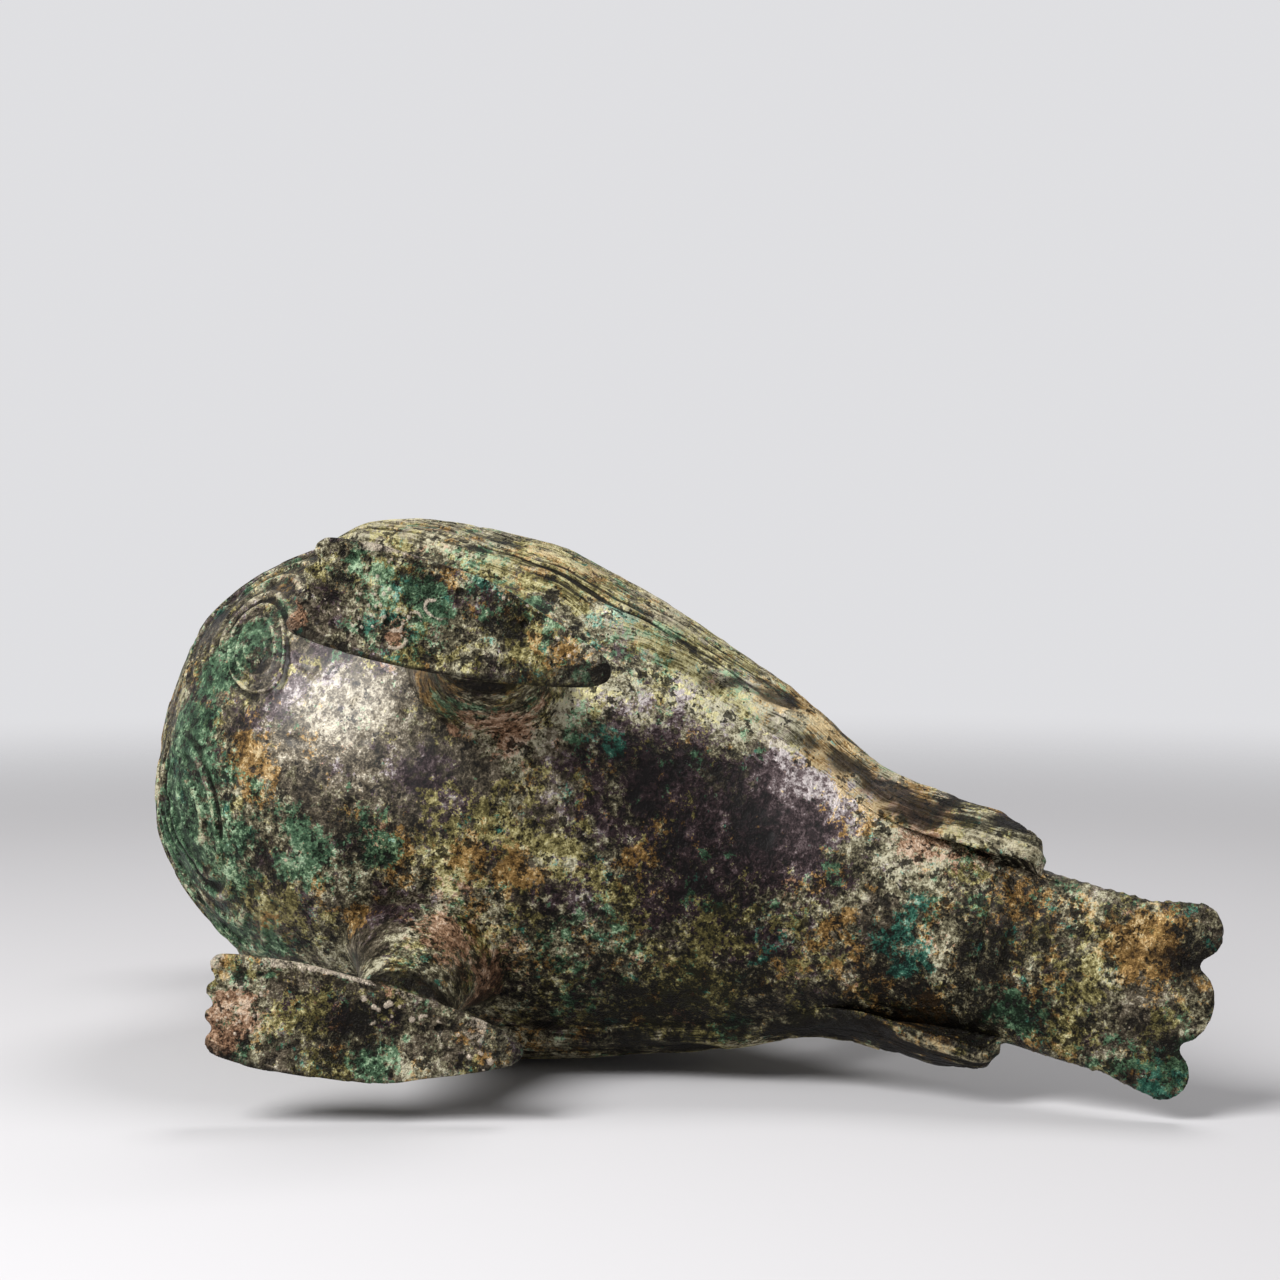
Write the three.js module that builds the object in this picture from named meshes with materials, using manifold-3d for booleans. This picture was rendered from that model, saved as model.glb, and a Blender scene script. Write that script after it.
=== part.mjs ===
// A bronze wine vessel in the shape of a standing owl. Millimetres, +Z up.
// The owl faces -Y and its left side is +X. It stands on two flat soles and the tip of its tail.
// The origin lies on the ground, below the middle of the box that holds the whole vessel.
import * as THREE from "three";
import { mergeVertices } from "three/addons/utils/BufferGeometryUtils.js";
import Module from "manifold-3d";

const wasm = await Module();
wasm.setup();

// Driving dimensions
const WALL = 3.2; // cast wall of the belly and of the head
const SEAM = 0.3; // gap that a cast-on piece keeps to what carries it
const WING_THICKNESS = 2.1;
const WING_EDGE = 1.1; // thickness of a wing along its edges and at its tip
const HALF_LENGTH = 127; // breast to origin, and tail tip to origin
const TAIL_SEAM_Y = 78; // where the tail is cast on to the body
const CAVITY_END_Y = 58; // where the belly's hollow ends towards the tail

// The body's outline, as [y, value] stations from the breast to the tail tip
const HALF_WIDTH = [
  [-127, 8], [-124.5, 22.5], [-119, 33], [-112, 41], [-104, 47.5], [-95, 53], [-84, 58.2],
  [-70, 61.6], [-55, 62.6], [-42, 62.6], [-27, 59.5], [-11, 54.9], [5, 49], [21, 42.9],
  [37, 34.8], [46, 30.2], [56, 26.5], [66, 24], [78, 22], [90, 20.8], [103, 20.8], [115, 22.6],
  [127, 25],
];
const BELLY_HEIGHT = [
  [-127, 84], [-122, 64], [-112, 50], [-96, 38], [-70, 30], [-40, 27.5], [0, 27], [30, 25.5],
  [55, 20.5], [80, 12.5], [100, 6], [116, 1.6], [127, 0],
];
const FLANK_HEIGHT = [
  [-127, 92], [-90, 92], [-50, 86], [0, 72], [40, 50], [62, 36], [80, 25], [100, 12.5], [127, 2],
];
const BACK_HEIGHT = [
  [-127, 100], [-122, 120], [-112, 134], [-92, 148], [-60, 156], [-20, 153], [5, 139], [30, 112],
  [50, 84], [64, 64], [80, 44], [100, 23], [116, 10], [127, 4],
];

// Neck and mouth
const NECK_CENTRE_Y = -56;
const NECK_OUTER = [39, 42]; // half-widths along X and Y
const NECK_WALL = 3.4;
const NECK_FOOT_Z = 132; // where the throat starts to rise out of the shoulders
const NECK_FLARE = 10; // how far the throat spreads at its foot
const MOUTH_Z = 165;

// The head, which is the lid
const HEAD_HALF = [46, 47];
const HEAD_DOME_TOP_Z = 236;
const LID_GAP = 0.4; // between the lid's tenon and the mouth
const TENON_DEPTH = 9;
const TENON_WALL = 3;
const LID_LIP = 3.6; // thickness of the lid where it rests on the mouth
const EYE_RADIUS = 15.5;
const EYE_HEIGHT = 3.4; // how far an eye stands out of the head
const EYE_AT = [31, 204]; // degrees from straight ahead, and height

// Beak, horns and knob
const BEAK_ROOT_Z = 202;
const BEAK_LENGTH = 20;
const BEAK_DROP = 17;
const BEAK_HALF = [10, 11];
const HORN_HEIGHT = 30;
const HORN_HALF = [9.5, 7]; // half-widths of a horn's root
const HORN_INSET = 19; // from the head's side to the middle of a horn's root
const HORN_AT_Y = -52;
const HORN_SINK = 18; // how far below the crown a horn's curve starts
const KNOB_RADIUS = 9;
const KNOB_HEIGHT = 17;

// Legs and feet
const SOLE_AT = [48, -60]; // middle of a sole
const FOOT_LENGTH = 75;
const FOOT_WIDTH = 26.4;
const FOOT_THICKNESS = 5;
const FOOT_BEVEL = 1;
const TOE_COUNT = 4;
const TOE_NOTCH = 1.8;
const TOE_ARC = 1.2; // how far the two middle toes stand out past the outer two
const ANKLE_AT = [42, -52];
const ANKLE_RADIUS = 9;
const HIP_AT = [31, -49];
const HIP_RADIUS = 18;
const HIP_Z = 40;

// The sole's edge from the outer toe round the heel to the inner toe, in half-widths (outwards)
// and half-lengths (backwards)
const FOOT_EDGE_SHARES = [
  [0.9, -0.84], [0.98, -0.57], [0.91, -0.19], [0.78, 0.19], [0.48, 0.5], [0.04, 0.9],
  [-0.3, 1], [-0.56, 0.93], [-0.76, 0.67], [-0.91, 0.27], [-1, -0.25], [-0.96, -0.65],
  [-0.84, -0.93],
];

// Tail fan
const FAN_NECK_Y = 92; // where the fan's sides start to spread
const MIDDLE_LOBE = [9.4, 6.6]; // half-width, and how far it stands out
const OUTER_LOBE = [7.1, 7.2];
const OUTER_LOBE_AT = [16.5, 118.2];

// Wings, as edges on the body's skin: [y, degrees above the flank line]
const WING_UPPER = [
  [-107, 14], [-102, 31], [-95, 42], [-84, 49], [-60, 47], [-20, 42], [20, 38], [48, 36],
  [62, 32], [71, 24], [77, 8], [83, -4], [90, -14],
];
const WING_LOWER = [
  [-107, 14], [-102, -2], [-95, -13], [-84, -21], [-65, -26], [-50, -30], [-30, -34],
  [-10, -36], [35, -38], [58, -41], [68, -41], [74, -37], [80, -30], [90, -18],
];
// How far the lower half of a wing stands off the body towards its tip, and the share of the
// wing's height over which the hollow below that half runs out
const WING_LIFT = [
  [38, 0], [44, 0.4], [51, 1.7], [58, 3.7], [64, 5.4], [70, 6.1], [74, 5.7], [78, 3.6],
  [82, 1.3], [90, 0],
];
const WING_HOLLOW = 0.3;

// Handle on the back
const HANDLE_WIDTH = 15;
const HANDLE_THICKNESS = 6;
const HANDLE_UPPER = [12, 136]; // y and z of the upper root
const HANDLE_REACH_Y = 66;
const HANDLE_LOWER = [49, 88];

// Rings and sides of the body's skin, and how far its flat facets may stray from the true outline
const FACETS = [34, 36];
const FACET_ALLOWANCE = 0.35;

const BEYOND = 300; // reaches past the vessel on every side, for cutting

const BRONZE = { color: 0x4d5641, roughness: 0.5, metalness: 0.55 };
const EARTHEN = { color: 0x8a7250, roughness: 0.75, metalness: 0.25 };

// A smooth value between the stations of one of the outlines above
function along(stations, y) {
  if (y <= stations[0][0]) return stations[0][1];
  const last = stations.length - 1;
  if (y >= stations[last][0]) return stations[last][1];
  const i = stations.findIndex((s) => s[0] > y) - 1;
  const slope = (a, b) => (stations[b][1] - stations[a][1]) / (stations[b][0] - stations[a][0]);
  const tangent = (k) => {
    if (k === 0 || k === last) return slope(Math.max(k - 1, 0), Math.min(k + 1, last));
    const before = slope(k - 1, k);
    const after = slope(k, k + 1);
    return before * after <= 0 ? 0 : (2 * before * after) / (before + after);
  };
  const [y0, v0] = stations[i];
  const [y1, v1] = stations[i + 1];
  const step = y1 - y0;
  const t = (y - y0) / step;
  return (
    v0 * (1 + 2 * t) * (1 - t) ** 2 +
    tangent(i) * step * t * (1 - t) ** 2 +
    v1 * t * t * (3 - 2 * t) +
    tangent(i + 1) * step * t * t * (t - 1)
  );
}

// A closed skin over a list of rings, each a list of points, with a fan at both ends
function skin(rings) {
  const count = rings[0].length;
  const middle = (ring) =>
    ring.reduce((sum, p) => sum.add(p), new THREE.Vector3()).divideScalar(count);
  const points = [...rings.flat(), middle(rings[0]), middle(rings.at(-1))];
  const faces = [];
  for (let r = 0; r < rings.length - 1; r++) {
    for (let k = 0; k < count; k++) {
      const a = r * count + k;
      const b = r * count + ((k + 1) % count);
      faces.push(a, b, b + count, a, b + count, a + count);
    }
  }
  const end = (rings.length - 1) * count;
  for (let k = 0; k < count; k++) {
    const next = (k + 1) % count;
    faces.push(next, k, points.length - 2, end + k, end + next, points.length - 1);
  }
  return new THREE.BufferGeometry().setFromPoints(points).setIndex(faces);
}

function solid(geometry) {
  const bare = geometry.clone();
  bare.deleteAttribute("normal");
  bare.deleteAttribute("uv");
  const merged = mergeVertices(bare, 1e-4);
  const made = new wasm.Manifold(
    new wasm.Mesh({
      numProp: 3,
      vertProperties: merged.attributes.position.array,
      triVerts: new Uint32Array(merged.index.array),
    }),
  );
  return made;
}

function geometryOf(manifold) {
  const mesh = manifold.getMesh();
  return new THREE.BufferGeometry()
    .setAttribute("position", new THREE.BufferAttribute(mesh.vertProperties, 3))
    .setIndex(new THREE.BufferAttribute(mesh.triVerts, 1));
}

function box(low, high) {
  const size = new THREE.Vector3(...high).sub(new THREE.Vector3(...low));
  const centre = new THREE.Vector3(...low).addScaledVector(size, 0.5);
  return solid(new THREE.BoxGeometry(size.x, size.y, size.z).translate(...centre.toArray()));
}

// A point on the body's skin: at a station y, and an angle above the flank line, seen from the
// tail, that starts on the owl's left. The skin is grown by an offset, or shrunk by a negative one.
function skinPoint(y, angle, offset) {
  const flank = along(FLANK_HEIGHT, y);
  const edge = along(Math.sin(angle) > 0 ? BACK_HEIGHT : BELLY_HEIGHT, y);
  return new THREE.Vector3(
    (along(HALF_WIDTH, y) + offset) * Math.cos(angle),
    y * (1 + offset / HALF_LENGTH),
    flank + Math.max(Math.abs(edge - flank) + offset, 0.5) * Math.sin(angle),
  );
}

// The owl's body without head, legs and wings
function bodyForm(offset, rings, sides) {
  const made = Array.from({ length: rings + 1 }, (_, i) => {
    // rings crowd together at the breast, where the outline turns fastest
    const y = HALF_LENGTH * (2 * (i / rings) ** 1.35 - 1);
    return Array.from({ length: sides }, (_, k) =>
      skinPoint(y, Math.PI - (2 * Math.PI * k) / sides, offset),
    );
  });
  return solid(skin(made));
}

// An upright oval column about the neck's axis, with a list of [z, spread] levels
function ovalColumn(half, levels, sides = 36) {
  const ring = ([z, spread]) =>
    Array.from({ length: sides }, (_, k) => {
      const angle = (2 * Math.PI * k) / sides;
      return new THREE.Vector3(
        (half[0] + spread) * Math.cos(angle),
        NECK_CENTRE_Y + (half[1] + spread) * Math.sin(angle),
        z,
      );
    });
  return solid(skin(levels.map(ring)));
}

const straight = (low, high) => [[low, 0], [high, 0]];

// The throat spreads in a hollow curve towards the shoulders
function throat(offset) {
  const rise = MOUTH_Z - NECK_FOOT_Z;
  const levels = [0, 0.12, 0.25, 0.4, 0.55, 0.7, 0.85, 1].map((t) => [
    NECK_FOOT_Z + rise * t,
    NECK_FLARE * (1 - t) ** 2 + offset,
  ]);
  return ovalColumn(NECK_OUTER, levels);
}

const inset = (half, by) => half.map((h) => h - by);

function vesselBody() {
  const neckInner = inset(NECK_OUTER, NECK_WALL);
  const cavity = bodyForm(-WALL, 22, 24).intersect(
    box([-BEYOND, -HALF_LENGTH, 0], [BEYOND, CAVITY_END_Y, BEYOND]),
  );
  return bodyForm(0, ...FACETS)
    .subtract(box([-BEYOND, TAIL_SEAM_Y, -BEYOND], [BEYOND, BEYOND, BEYOND]))
    .add(throat(0))
    .subtract(cavity)
    .subtract(ovalColumn(neckInner, straight(NECK_FOOT_Z - 10, MOUTH_Z + 10)));
}

// The fan in plan view: straight flaring sides, and three round lobes at the end
function tailFan() {
  const plan = new THREE.Shape();
  const start = TAIL_SEAM_Y + SEAM;
  const [outerX, outerY] = OUTER_LOBE_AT;
  const side = outerX + OUTER_LOBE[0];
  const turn = THREE.MathUtils.degToRad;
  plan.moveTo(-2 * side, start);
  plan.lineTo(2 * side, start);
  plan.lineTo(side, FAN_NECK_Y);
  plan.absellipse(outerX, outerY, ...OUTER_LOBE, turn(-10), turn(148), false);
  plan.absellipse(0, HALF_LENGTH - MIDDLE_LOBE[1], ...MIDDLE_LOBE, turn(12), turn(168), false);
  plan.absellipse(-outerX, outerY, ...OUTER_LOBE, turn(32), turn(190), false);
  plan.lineTo(-side, FAN_NECK_Y);
  const prism = new THREE.ExtrudeGeometry(plan, {
    depth: 2 * BEYOND,
    bevelEnabled: false,
    curveSegments: 10,
  });
  return bodyForm(0, ...FACETS).intersect(solid(prism.translate(0, 0, -BEYOND)));
}

// A list of evenly spaced values, with both ends
function spaced(low, high, count) {
  return Array.from({ length: count }, (_, i) => THREE.MathUtils.lerp(low, high, i / (count - 1)));
}

// The wing is a plate that follows the body's skin between its two edges, and stands off it at
// the tip, most of all below
function wing() {
  const front = WING_UPPER[0][0];
  const tip = WING_UPPER.at(-1)[0];
  const stations = [
    ...spaced(front, front + 15, 8),
    ...spaced(front + 20, tip - 44, 17),
    ...spaced(tip - 41, tip, 18),
  ];
  const shares = [0, 0.05, ...spaced(0.15, 0.85, 7), 0.95, 1];
  const rings = stations.map((y) => {
    const low = along(WING_LOWER, y);
    const range = along(WING_UPPER, y) + 0.5 - low;
    const endwise =
      THREE.MathUtils.smoothstep(tip - y, 0, 8) * THREE.MathUtils.smoothstep(y - front, 0, 24);
    const edge = (share, stand) => {
      const angle = THREE.MathUtils.degToRad(low + range * share);
      return skinPoint(y, angle, SEAM + FACET_ALLOWANCE + stand);
    };
    const lift = (share, from, to) =>
      along(WING_LIFT, y) * (1 - THREE.MathUtils.smoothstep(share, from, to));
    const thickness = (share) => {
      const inwards = THREE.MathUtils.smoothstep(Math.min(share, 1 - share), 0, 0.16);
      return THREE.MathUtils.lerp(WING_EDGE, WING_THICKNESS, inwards * endwise);
    };
    const inner = shares.map((share) => edge(share, lift(share, 0, WING_HOLLOW)));
    const outer = shares.map((share) => edge(share, lift(share, 0.45, 1) + thickness(share)));
    return [...inner, ...outer.reverse()];
  });
  return solid(skin(rings)).subtract(throat(SEAM));
}

// A sole in plan view, drawn about its own middle, toes towards -y
function footPlan() {
  const edge = FOOT_EDGE_SHARES.map(
    ([x, y]) => new THREE.Vector2((x * FOOT_WIDTH) / 2, (y * FOOT_LENGTH) / 2),
  );
  const outer = edge[0];
  const inner = edge.at(-1);
  const plan = new THREE.Shape();
  plan.moveTo(inner.x, inner.y);
  for (let k = 0; k < TOE_COUNT; k++) {
    const from = inner.clone().lerp(outer, k / TOE_COUNT);
    const to = inner.clone().lerp(outer, (k + 1) / TOE_COUNT);
    const peak = from.clone().lerp(to, 0.5);
    // the toes stand out in a shallow arc
    const reach = 2 * TOE_NOTCH + (k === 0 || k === TOE_COUNT - 1 ? 0 : TOE_ARC);
    plan.quadraticCurveTo(peak.x, peak.y - reach, to.x, to.y);
  }
  plan.splineThru(edge.slice(1));
  return plan;
}

function leg() {
  const foot = new THREE.ExtrudeGeometry(footPlan(), {
    depth: FOOT_THICKNESS - 2 * FOOT_BEVEL,
    bevelThickness: FOOT_BEVEL,
    bevelSize: FOOT_BEVEL,
    bevelOffset: -FOOT_BEVEL,
    bevelSegments: 2,
    curveSegments: 3,
  }).translate(SOLE_AT[0], SOLE_AT[1], FOOT_BEVEL);
  const sides = 20;
  const ring = (t) => {
    // the shank flares towards the hip
    const radius = ANKLE_RADIUS + (HIP_RADIUS - ANKLE_RADIUS) * t ** 2.2;
    return Array.from({ length: sides }, (_, k) => {
      const angle = (2 * Math.PI * k) / sides;
      return new THREE.Vector3(
        THREE.MathUtils.lerp(ANKLE_AT[0], HIP_AT[0], t) + radius * Math.cos(angle),
        THREE.MathUtils.lerp(ANKLE_AT[1], HIP_AT[1], t) + 1.25 * radius * Math.sin(angle),
        THREE.MathUtils.lerp(FOOT_THICKNESS / 2, HIP_Z, t),
      );
    });
  };
  const shank = solid(skin([0, 0.2, 0.4, 0.55, 0.7, 0.85, 1].map(ring)));
  return solid(foot).add(shank).subtract(bodyForm(SEAM, ...FACETS));
}

// The head without its tenon, grown by an offset
function headForm(offset) {
  const rise = HEAD_DOME_TOP_Z - MOUTH_Z;
  const levels = [0, 0.05, 0.14, 0.26, 0.4, 0.54, 0.66, 0.77, 0.86, 0.93, 0.975, 1];
  const sides = 36;
  const rings = levels.map((t) => {
    // a full cheek that rounds over into a flattened crown
    const share = t < 0.45 ? 0.93 + 0.07 * Math.sin((t / 0.45) * (Math.PI / 2)) : 1;
    const round = t < 0.45 ? 1 : Math.sqrt(Math.max(1 - ((t - 0.45) / 0.553) ** 2.4, 0.004));
    return Array.from({ length: sides }, (_, k) => {
      const angle = (2 * Math.PI * k) / sides;
      return new THREE.Vector3(
        (HEAD_HALF[0] * share * round + offset) * Math.cos(angle),
        NECK_CENTRE_Y + (HEAD_HALF[1] * share * round + offset) * Math.sin(angle),
        MOUTH_Z + SEAM + rise * t + (t > 0.5 ? offset : 0),
      );
    });
  });
  return solid(skin(rings));
}

function eyeBoss(side) {
  const profile = [
    [0, -10], [EYE_RADIUS, -10], [EYE_RADIUS, 1], [EYE_RADIUS - 1.6, EYE_HEIGHT - 0.6],
    [EYE_RADIUS - 4.4, EYE_HEIGHT - 0.8], [EYE_RADIUS - 5.2, 1.6], [EYE_RADIUS - 7, 1.8],
    [EYE_RADIUS - 8.4, EYE_HEIGHT], [0, EYE_HEIGHT + 1.4],
  ];
  const lathe = new THREE.LatheGeometry(profile.map((p) => new THREE.Vector2(...p)), 32);
  const angle = THREE.MathUtils.degToRad(EYE_AT[0]) * side;
  const out = new THREE.Vector3(Math.sin(angle), -Math.cos(angle), 0);
  const turn = new THREE.Quaternion().setFromUnitVectors(new THREE.Vector3(0, 1, 0), out);
  lathe.applyQuaternion(turn);
  lathe.translate(HEAD_HALF[0] * out.x, NECK_CENTRE_Y + HEAD_HALF[1] * out.y, EYE_AT[1]);
  return solid(lathe);
}

function headLid() {
  const rise = HEAD_DOME_TOP_Z - MOUTH_Z;
  const hollowShare = (HEAD_DOME_TOP_Z - MOUTH_Z - WALL) / rise;
  const squeeze = new THREE.Matrix4()
    .makeTranslation(0, NECK_CENTRE_Y, MOUTH_Z)
    .multiply(
      new THREE.Matrix4().makeScale(
        (HEAD_HALF[0] - WALL - 2) / HEAD_HALF[0],
        (HEAD_HALF[1] - WALL - 2) / HEAD_HALF[1],
        hollowShare,
      ),
    )
    .multiply(new THREE.Matrix4().makeTranslation(0, -NECK_CENTRE_Y, -MOUTH_Z));
  // the hollow starts above a lip, which carries the tenon
  const hollow = headForm(0)
    .transform(squeeze.elements)
    .subtract(box([-BEYOND, -BEYOND, 0], [BEYOND, BEYOND, MOUTH_Z + SEAM + LID_LIP]));
  const tenonOuter = inset(NECK_OUTER, NECK_WALL + LID_GAP);
  const tenonInner = inset(tenonOuter, TENON_WALL);
  return headForm(0)
    .add(eyeBoss(-1))
    .add(eyeBoss(1))
    .add(ovalColumn(tenonOuter, straight(MOUTH_Z - TENON_DEPTH, MOUTH_Z + 2)))
    .subtract(hollow)
    .subtract(ovalColumn(tenonInner, straight(MOUTH_Z - TENON_DEPTH - 1, MOUTH_Z + 8)));
}

// A tapering form that follows a curve, with its two half-widths at the root
function taper(path, halfSide, halfUp, fullness, sides) {
  const across = new THREE.Vector3(1, 0, 0);
  const steps = 10;
  const rings = Array.from({ length: steps + 1 }, (_, i) => {
    const t = i / steps;
    const at = path.getPoint(t);
    const up = across.clone().cross(path.getTangent(t)).normalize();
    const share = Math.max(1 - t, 0) ** fullness * 0.93 + 0.07;
    return Array.from({ length: sides }, (_, k) => {
      const angle = (2 * Math.PI * k) / sides;
      return at
        .clone()
        .addScaledVector(across, halfSide * share * Math.cos(angle))
        .addScaledVector(up, -halfUp * share * Math.sin(angle));
    });
  });
  return solid(skin(rings));
}

function beak() {
  const rootY = NECK_CENTRE_Y - HEAD_HALF[1] + 8;
  const path = new THREE.QuadraticBezierCurve3(
    new THREE.Vector3(0, rootY, BEAK_ROOT_Z),
    new THREE.Vector3(0, rootY - 8 - BEAK_LENGTH, BEAK_ROOT_Z + 3),
    new THREE.Vector3(0, rootY - 6 - BEAK_LENGTH * 0.85, BEAK_ROOT_Z - BEAK_DROP),
  );
  return taper(path, BEAK_HALF[0], BEAK_HALF[1], 0.75, 20).subtract(headForm(SEAM));
}

// An ear tuft that rises out of the crown and leans outwards
function horn() {
  const x = HEAD_HALF[0] - HORN_INSET;
  const y = HORN_AT_Y;
  const rootZ = HEAD_DOME_TOP_Z - HORN_SINK;
  const path = new THREE.QuadraticBezierCurve3(
    new THREE.Vector3(x - HORN_HEIGHT * 0.13, y, rootZ),
    new THREE.Vector3(x - HORN_HEIGHT * 0.03, y + HORN_HEIGHT * 0.1, rootZ + HORN_HEIGHT * 0.7),
    new THREE.Vector3(x + HORN_HEIGHT * 0.23, y - HORN_HEIGHT * 0.07, rootZ + HORN_HEIGHT * 1.4),
  );
  return taper(path, HORN_HALF[0], HORN_HALF[1], 0.6, 20).subtract(headForm(SEAM));
}

function lidKnob() {
  const foot = HEAD_DOME_TOP_Z + 2 * SEAM;
  const profile = [
    [0, 0], [KNOB_RADIUS * 0.62, 0], [KNOB_RADIUS * 0.42, KNOB_HEIGHT * 0.2],
    [KNOB_RADIUS * 0.42, KNOB_HEIGHT * 0.42], [KNOB_RADIUS, KNOB_HEIGHT * 0.55],
    [KNOB_RADIUS * 0.9, KNOB_HEIGHT * 0.74], [KNOB_RADIUS * 0.5, KNOB_HEIGHT * 0.93], [0, KNOB_HEIGHT],
  ];
  const lathe = new THREE.LatheGeometry(profile.map((p) => new THREE.Vector2(...p)), 24);
  lathe.rotateX(Math.PI / 2);
  return solid(lathe.translate(0, NECK_CENTRE_Y, foot));
}

// A strap loop from the nape to the lower back
function handle() {
  const [upperY, upperZ] = HANDLE_UPPER;
  const [lowerY, lowerZ] = HANDLE_LOWER;
  const path = new THREE.CatmullRomCurve3([
    new THREE.Vector3(0, upperY - 14, upperZ - 3),
    new THREE.Vector3(0, upperY + 10, upperZ + 7),
    new THREE.Vector3(0, HANDLE_REACH_Y - 15, upperZ + 5),
    new THREE.Vector3(0, HANDLE_REACH_Y, upperZ - 17),
    new THREE.Vector3(0, HANDLE_REACH_Y - 3, lowerZ + 10),
    new THREE.Vector3(0, lowerY, lowerZ - 4),
    new THREE.Vector3(0, lowerY - 18, lowerZ - 9),
  ]);
  const strap = new THREE.Shape();
  strap.absellipse(0, 0, HANDLE_WIDTH / 2, HANDLE_THICKNESS / 2, 0, 2 * Math.PI);
  const loop = new THREE.ExtrudeGeometry(strap, { steps: 26, extrudePath: path, curveSegments: 8 });
  return solid(loop).subtract(bodyForm(SEAM, ...FACETS));
}

const owl = new THREE.Group();

function place(name, manifold, finish, mirror = false) {
  const sided = mirror ? manifold.mirror([1, 0, 0]) : manifold;
  const mesh = new THREE.Mesh(geometryOf(sided), new THREE.MeshStandardMaterial(finish));
  mesh.name = name;
  owl.add(mesh);
}

place("vessel_body", vesselBody(), BRONZE);
place("tail_fan", tailFan(), BRONZE);
place("left_wing", wing(), BRONZE);
place("right_wing", wing(), BRONZE, true);
place("left_leg", leg(), EARTHEN);
place("right_leg", leg(), EARTHEN, true);
place("handle", handle(), BRONZE);
place("head_lid", headLid(), BRONZE);
place("beak", beak(), BRONZE);
place("left_horn", horn(), BRONZE);
place("right_horn", horn(), BRONZE, true);
place("lid_knob", lidKnob(), BRONZE);

export default owl;
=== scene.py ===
"""Bronze owl wine vessel, seen from below as it lies on its right side.

The owl stands upright in this file: it faces -Y, its left side is +X, and its soles and the tip
of its tail are at z = 0. The camera looks up at its underside, and the floor is a sheet that
touches its right flank.
"""

import math

import bpy
import numpy as np
from mathutils import Matrix, Vector


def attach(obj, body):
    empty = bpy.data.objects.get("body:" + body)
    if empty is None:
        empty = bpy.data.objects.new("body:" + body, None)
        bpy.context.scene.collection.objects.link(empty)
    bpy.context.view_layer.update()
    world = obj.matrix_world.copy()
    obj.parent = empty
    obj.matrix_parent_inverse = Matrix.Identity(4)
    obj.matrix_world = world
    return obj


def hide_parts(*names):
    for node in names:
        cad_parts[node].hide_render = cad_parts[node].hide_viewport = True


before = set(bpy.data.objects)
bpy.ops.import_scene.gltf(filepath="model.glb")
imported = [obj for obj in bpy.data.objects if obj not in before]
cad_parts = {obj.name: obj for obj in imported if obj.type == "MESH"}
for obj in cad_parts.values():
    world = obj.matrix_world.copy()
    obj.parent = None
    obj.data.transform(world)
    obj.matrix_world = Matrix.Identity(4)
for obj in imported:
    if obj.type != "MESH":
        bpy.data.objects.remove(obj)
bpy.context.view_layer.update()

MM = 0.001

# The body's outline, as stations from the breast to the tail tip, in millimetres
HALF_LENGTH = 127
HALF_WIDTH = [
    (-127, 8), (-124.5, 22.5), (-119, 33), (-112, 41), (-104, 47.5), (-95, 53), (-84, 58.2),
    (-70, 61.6), (-55, 62.6), (-42, 62.6), (-27, 59.5), (-11, 54.9), (5, 49), (21, 42.9),
    (37, 34.8), (46, 30.2), (56, 26.5), (66, 24), (78, 22), (90, 20.8), (103, 20.8), (115, 22.6),
    (127, 25),
]
BELLY_HEIGHT = [
    (-127, 84), (-122, 64), (-112, 50), (-96, 38), (-70, 30), (-40, 27.5), (0, 27), (30, 25.5),
    (55, 20.5), (80, 12.5), (100, 6), (116, 1.6), (127, 0),
]
FLANK_HEIGHT = [
    (-127, 92), (-90, 92), (-50, 86), (0, 72), (40, 50), (62, 36), (80, 25), (100, 12.5), (127, 2),
]
BACK_HEIGHT = [
    (-127, 100), (-122, 120), (-112, 134), (-92, 148), (-60, 156), (-20, 153), (5, 139), (30, 112),
    (50, 84), (64, 64), (80, 44), (100, 23), (116, 10), (127, 4),
]
TAIL_SEAM_Y = 78

# The throat's axis and outer half-widths, and where it rises out of the shoulders
NECK_CENTRE_Y = -56
NECK_OUTER = (39, 42)
NECK_FOOT_Z = 132
MOUTH_Z = 165

# A wing's two edges, as stations and degrees above the flank line, how far its lower half stands
# off the body towards the tip, how far up the hollow below it reaches, and how thick it is
WING_UPPER = [
    (-107, 14), (-102, 31), (-95, 42), (-84, 49), (-60, 47), (-20, 42), (20, 38), (48, 36),
    (62, 32), (71, 24), (77, 8), (83, -4), (90, -14),
]
WING_LOWER = [
    (-107, 14), (-102, -2), (-95, -13), (-84, -21), (-65, -26), (-50, -30), (-30, -34),
    (-10, -36), (35, -38), (58, -41), (68, -41), (74, -37), (80, -30), (90, -18),
]
WING_LIFT = [
    (38, 0), (44, 0.4), (51, 1.7), (58, 3.7), (64, 5.4), (70, 6.1), (75, 5.8), (79, 4.4),
    (82, 2.0), (84, 0.6), (90, 0),
]
WING_HOLLOW = 0.3
WING_THICKNESS = 1.9

# The left sole's middle, and half its width, which falls off with the square of the distance from
# its widest place, and how high the legs' solids reach
SOLE_AT = (48, -60)
SOLE_HALF_WIDTH = 12.6
SOLE_TAPER = 0.0062
SOLE_WIDEST = -8
HIP_Z = 39.6

# The head's half-widths, the left eye's bearing in degrees and its height, how far aside it sits,
# its radius, and the middle radius of the rim round its disc of rays
HEAD_HALF = (46, 47)
EYE_BEARING = 31
EYE_Z = 204
EYE_ASIDE = 23.7
EYE_RADIUS = 15.6
FACE_RIM = 28.4

# Widths and lengths of the scale feathers, and how far to each side the tail's lobes part
BACK_FEATHER = (11, 8.5)
THROAT_FEATHER = (10.1, 7.6)
HEAD_FEATHER = (9.63, 7.4)
LOBE_EDGE = 9.4

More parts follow.
